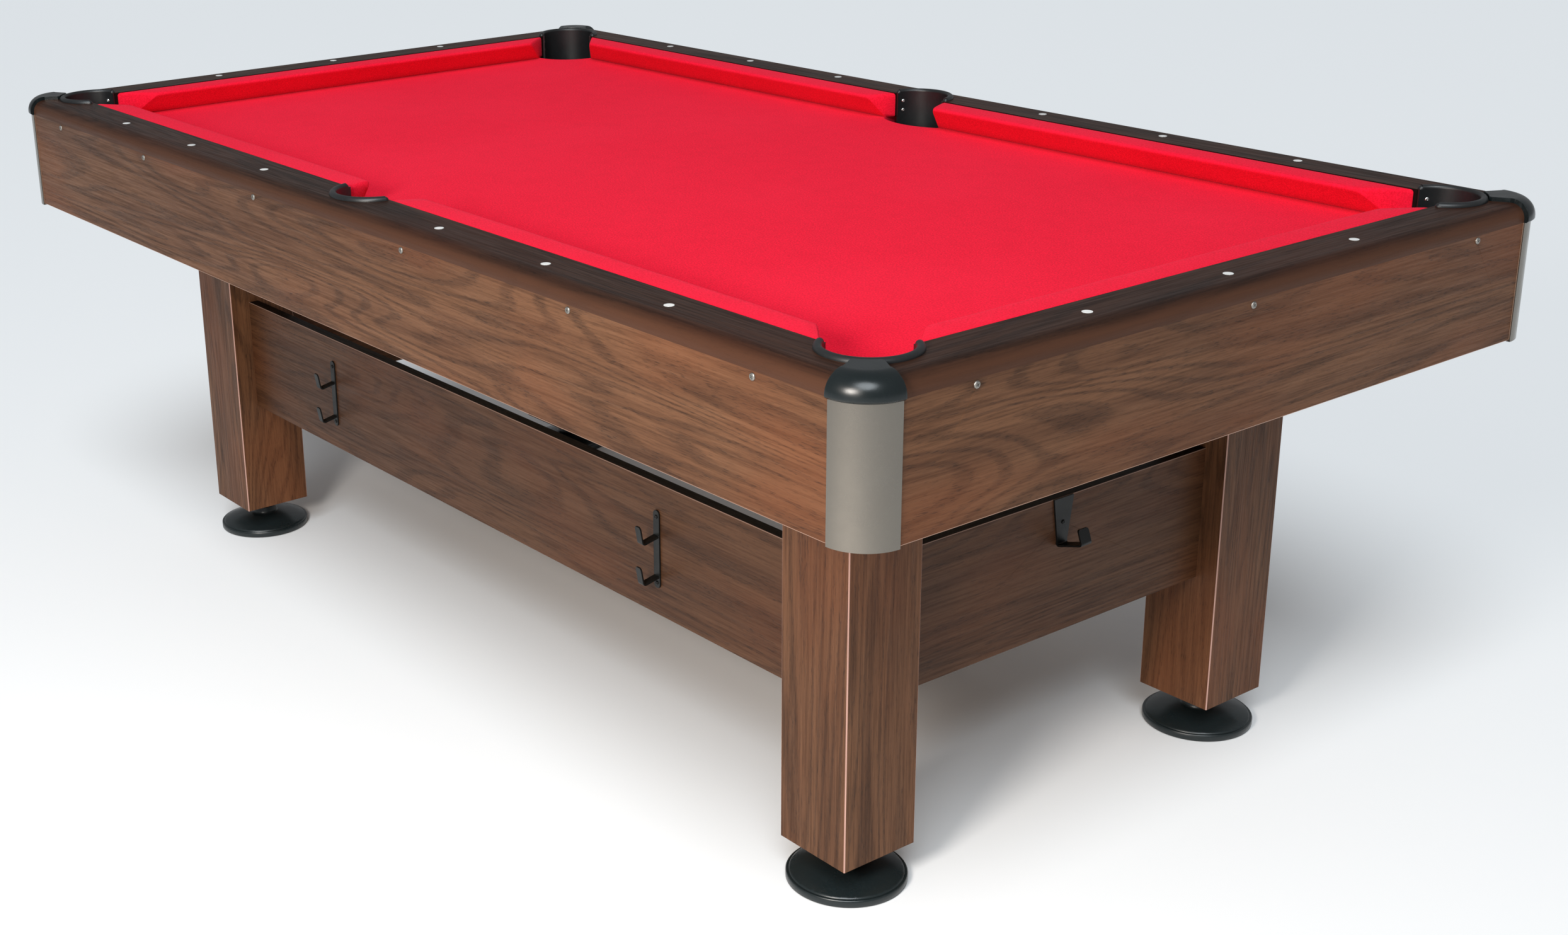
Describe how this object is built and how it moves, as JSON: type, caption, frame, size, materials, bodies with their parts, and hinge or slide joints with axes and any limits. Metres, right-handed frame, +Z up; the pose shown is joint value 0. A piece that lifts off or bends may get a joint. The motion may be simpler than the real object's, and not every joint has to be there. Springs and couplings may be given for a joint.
{
  "type": "pool table",
  "caption": "Free-standing pool table with a red cloth bed, pocket liners, walnut rails, square legs, cue and rack hooks and screw-adjustable feet.",
  "frame": {"origin": "on the floor under the middle of the table", "axes": "+X along the length towards the end with the rack hook, -Y the side with the cue hooks, +Z up"},
  "size_m": [2.234, 1.258, 0.811],
  "materials": {
    "board_mdf": "raw fibreboard",
    "bed_cloth": "woven wool cloth, red",
    "cushion_cloth": "woven wool cloth over rubber, red",
    "rail_wood": "dark walnut foil, satin",
    "apron_wood": "walnut foil, satin",
    "leg_wood": "walnut foil, satin",
    "panel_wood": "walnut foil, satin",
    "frame_wood": "plain softwood",
    "pocket_plastic": "moulded, satin black",
    "cap_plastic": "moulded, satin black",
    "cover_plastic": "moulded, satin grey",
    "sight_plastic": "white inlay",
    "screw_steel": "zinc plated",
    "zinc_steel": "zinc plated",
    "stem_steel": "zinc plated",
    "hook_paint": "black powder coat",
    "foot_plastic": "moulded, satin black"
  },
  "bodies": {
    "table": {"apron_back": "apron_wood", "apron_front": "apron_wood", "apron_left": "apron_wood", "apron_right": "apron_wood", "apron_screws": "screw_steel", "beam_back": "frame_wood", "beam_front": "frame_wood", "beam_left": "frame_wood", "beam_right": "frame_wood", "bed_board": "board_mdf", "bed_cloth": "bed_cloth", "corner_cap_back_left": "cap_plastic", "corner_cap_back_right": "cap_plastic", "corner_cap_front_left": "cap_plastic", "corner_cap_front_right": "cap_plastic", "corner_cover_back_left": "cover_plastic", "corner_cover_back_right": "cover_plastic", "corner_cover_front_left": "cover_plastic", "corner_cover_front_right": "cover_plastic", "cue_hook_left": "hook_paint", "cue_hook_right": "hook_paint", "cushion_back_left": "cushion_cloth", "cushion_back_right": "cushion_cloth", "cushion_front_left": "cushion_cloth", "cushion_front_right": "cushion_cloth", "cushion_left": "cushion_cloth", "cushion_right": "cushion_cloth", "hook_screws": "screw_steel", "leg_back_left": "leg_wood", "leg_back_right": "leg_wood", "leg_bolts": "zinc_steel", "leg_front_left": "leg_wood", "leg_front_right": "leg_wood", "leg_inserts": "zinc_steel", "lower_panel_back": "panel_wood", "lower_panel_front": "panel_wood", "lower_panel_left": "panel_wood", "lower_panel_right": "panel_wood", "panel_brackets": "zinc_steel", "pocket_back_left": "pocket_plastic", "pocket_back_middle": "pocket_plastic", "pocket_back_right": "pocket_plastic", "pocket_front_left": "pocket_plastic", "pocket_front_middle": "pocket_plastic", "pocket_front_right": "pocket_plastic", "rack_hook": "hook_paint", "rail_back": "rail_wood", "rail_bolts": "zinc_steel", "rail_front": "rail_wood", "rail_left": "rail_wood", "rail_right": "rail_wood", "sights": "sight_plastic"},
    "foot_front_right": {"foot_front_right": "foot_plastic"},
    "foot_stem_front_right": {"foot_stem_front_right": "stem_steel"},
    "foot_front_left": {"foot_front_left": "foot_plastic"},
    "foot_stem_front_left": {"foot_stem_front_left": "stem_steel"},
    "foot_back_right": {"foot_back_right": "foot_plastic"},
    "foot_stem_back_right": {"foot_stem_back_right": "stem_steel"},
    "foot_back_left": {"foot_back_left": "foot_plastic"},
    "foot_stem_back_left": {"foot_stem_back_left": "stem_steel"}
  },
  "joints": [
    {"name": "foot_front_right_height", "type": "slide", "parent": "table", "child": "foot_front_right", "axis": [0, 0, -1], "range_m": [-0.008, 0.02]},
    {"name": "foot_front_right_stem_turn", "type": "hinge", "parent": "foot_front_right", "child": "foot_stem_front_right", "pos_m": [0.8125, -0.3565, 0.03], "axis": [0, 0, -1], "range_deg": [-1440, 3600]},
    {"name": "foot_front_left_height", "type": "slide", "parent": "table", "child": "foot_front_left", "axis": [0, 0, -1], "range_m": [-0.008, 0.02]},
    {"name": "foot_front_left_stem_turn", "type": "hinge", "parent": "foot_front_left", "child": "foot_stem_front_left", "pos_m": [-0.8125, -0.3565, 0.03], "axis": [0, 0, -1], "range_deg": [-1440, 3600]},
    {"name": "foot_back_right_height", "type": "slide", "parent": "table", "child": "foot_back_right", "axis": [0, 0, -1], "range_m": [-0.008, 0.02]},
    {"name": "foot_back_right_stem_turn", "type": "hinge", "parent": "foot_back_right", "child": "foot_stem_back_right", "pos_m": [0.8125, 0.3565, 0.03], "axis": [0, 0, -1], "range_deg": [-1440, 3600]},
    {"name": "foot_back_left_height", "type": "slide", "parent": "table", "child": "foot_back_left", "axis": [0, 0, -1], "range_m": [-0.008, 0.02]},
    {"name": "foot_back_left_stem_turn", "type": "hinge", "parent": "foot_back_left", "child": "foot_stem_back_left", "pos_m": [-0.8125, 0.3565, 0.03], "axis": [0, 0, -1], "range_deg": [-1440, 3600]}
  ],
  "couplings": [
    {"joint": "foot_front_right_stem_turn", "follows": "foot_front_right_height", "rad_per_m": 3141.6},
    {"joint": "foot_front_left_stem_turn", "follows": "foot_front_left_height", "rad_per_m": 3141.6},
    {"joint": "foot_back_right_stem_turn", "follows": "foot_back_right_height", "rad_per_m": 3141.6},
    {"joint": "foot_back_left_stem_turn", "follows": "foot_back_left_height", "rad_per_m": 3141.6}
  ]
}
